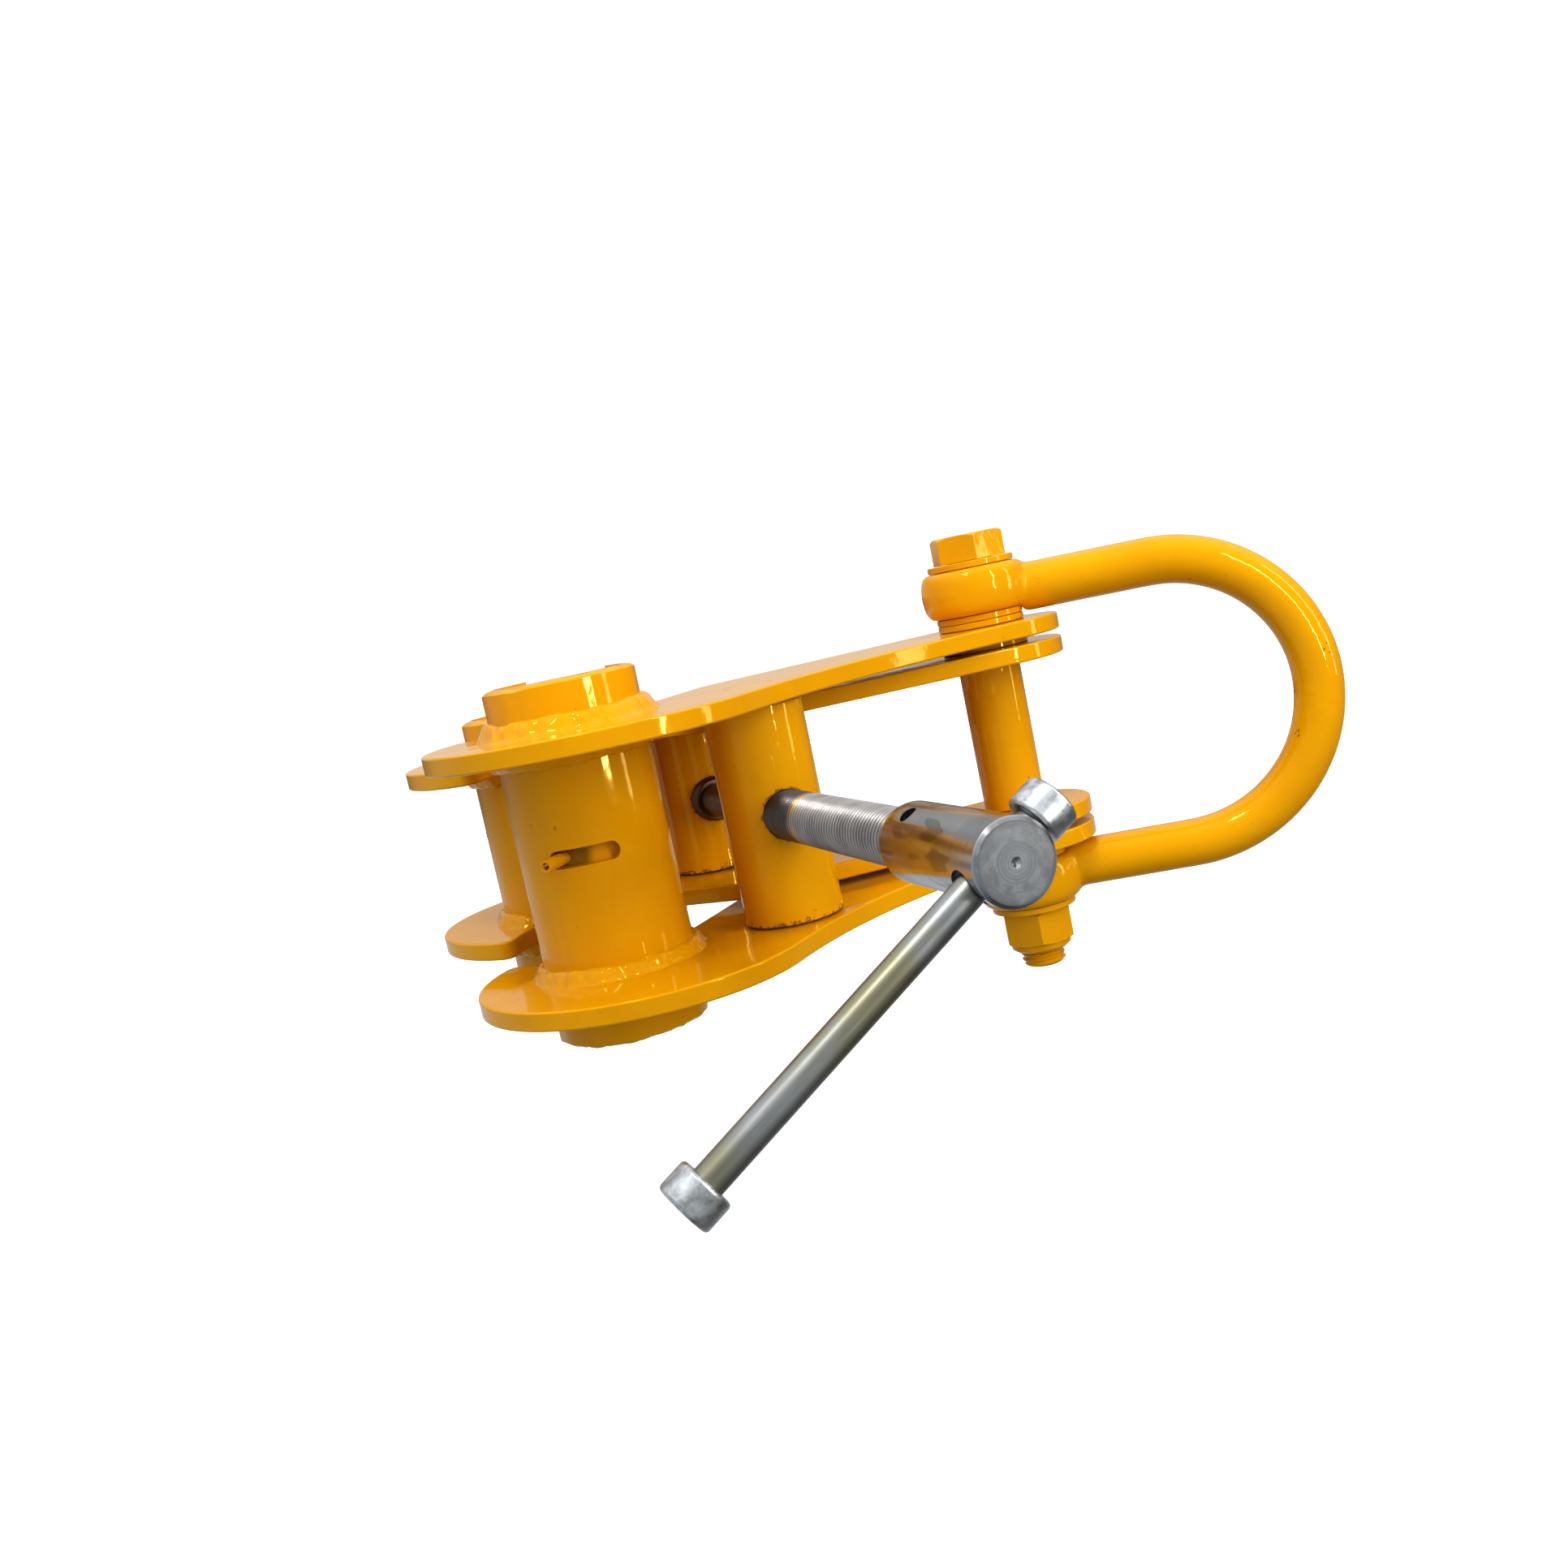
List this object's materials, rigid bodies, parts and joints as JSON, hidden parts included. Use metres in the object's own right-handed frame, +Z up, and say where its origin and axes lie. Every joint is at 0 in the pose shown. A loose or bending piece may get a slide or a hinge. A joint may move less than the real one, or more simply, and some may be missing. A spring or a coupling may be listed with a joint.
{
  "type": "beam clamp",
  "caption": "Screw-adjusted beam clamp: nested tong arms on a pivot bolt grip a beam's flange in swivelling jaw bars, with a shackle below for the load.",
  "frame": {"origin": "half-way between the two jaw centres, on the middle plane of the plates", "axes": "+Z up, away from the pivot bolt and shackle; +X along the screw towards its head; +Y along the pivot bolt towards its head"},
  "size_m": [0.4006, 0.2027, 0.399],
  "materials": {
    "yellow_paint": "thick gloss amber-yellow paint over welded steel",
    "thread_steel": "machined thread, oily and dark near the barrels",
    "head_steel": "turned bright steel with tool marks",
    "zinc_plate": "clear zinc plating with a faint yellow cast"
  },
  "bodies": {
    "hub": {"pivot_bolt": "yellow_paint", "pivot_nut": "yellow_paint", "bolt_washers": "yellow_paint", "eye_washers": "yellow_paint", "plate_washers": "yellow_paint", "spacer_tube": "yellow_paint"},
    "shackle": {"shackle_bow": "yellow_paint"},
    "front_arm": {"front_plate_top": "yellow_paint", "front_plate_bottom": "yellow_paint", "front_tube": "yellow_paint", "front_outer_welds": "yellow_paint", "front_inner_welds": "yellow_paint"},
    "front_jaw": {"front_jaw_bar": "yellow_paint", "front_stop_pin": "yellow_paint"},
    "front_trunnion": {"front_barrel": "yellow_paint"},
    "back_arm": {"back_plate_top": "yellow_paint", "back_plate_bottom": "yellow_paint", "back_tube": "yellow_paint", "back_outer_welds": "yellow_paint", "back_inner_welds": "yellow_paint"},
    "back_jaw": {"back_jaw_bar": "yellow_paint", "back_stop_pin": "yellow_paint"},
    "back_trunnion": {"back_barrel": "yellow_paint"},
    "core": {"screw_core": "thread_steel"},
    "screw": {"screw_near_thread": "thread_steel", "screw_far_thread": "thread_steel", "screw_head": "head_steel", "head_pin": "head_steel"},
    "tommy": {"tommy_bar": "zinc_plate", "tommy_near_cap": "zinc_plate", "tommy_far_cap": "zinc_plate"}
  },
  "joints": [
    {"name": "screw_turn", "type": "hinge", "parent": "core", "child": "screw", "pos_m": [0.1, 0, -0.0718], "axis": [-1, 0, 0], "range_deg": [0, 8510]},
    {"name": "front_arm_swing", "type": "hinge", "parent": "hub", "child": "front_arm", "pos_m": [0, 0, -0.204], "axis": [0, 1, 0], "range_deg": [0, 30]},
    {"name": "back_arm_swing", "type": "hinge", "parent": "hub", "child": "back_arm", "pos_m": [0, 0, -0.204], "axis": [0, -1, 0], "range_deg": [0, 30]},
    {"name": "front_trunnion_turn", "type": "hinge", "parent": "front_arm", "child": "front_trunnion", "pos_m": [0.0521, 0, -0.0718], "axis": [0, -1, 0], "range_deg": [0, 30]},
    {"name": "back_trunnion_turn", "type": "hinge", "parent": "back_arm", "child": "back_trunnion", "pos_m": [-0.0521, 0, -0.0718], "axis": [0, 1, 0], "range_deg": [0, 30]},
    {"name": "screw_feed", "type": "slide", "parent": "front_trunnion", "child": "core", "axis": [-1, 0, 0], "range_m": [0, 0.0592]},
    {"name": "front_jaw_swivel", "type": "hinge", "parent": "front_arm", "child": "front_jaw", "pos_m": [0.0436, 0, 0], "axis": [0, 1, 0], "range_deg": [0, 40]},
    {"name": "back_jaw_swivel", "type": "hinge", "parent": "back_arm", "child": "back_jaw", "pos_m": [-0.0436, 0, 0], "axis": [0, -1, 0], "range_deg": [0, 40]},
    {"name": "shackle_swing", "type": "hinge", "parent": "hub", "child": "shackle", "pos_m": [0, 0, -0.204], "axis": [0, -1, 0], "range_deg": [-127, 73]},
    {"name": "tommy_bar_slide", "type": "slide", "parent": "screw", "child": "tommy", "axis": [0, 0.5299, -0.848], "range_m": [0, 0.1035]}
  ],
  "couplings": [
    {"joint": "screw_turn", "follows": "front_arm_swing", "ratio": 283.66},
    {"joint": "screw_feed", "follows": "front_arm_swing", "m_per_rad": 0.11286},
    {"joint": "back_arm_swing", "follows": "front_arm_swing", "ratio": 1},
    {"joint": "front_trunnion_turn", "follows": "front_arm_swing", "ratio": 1},
    {"joint": "back_trunnion_turn", "follows": "front_arm_swing", "ratio": 1}
  ]
}
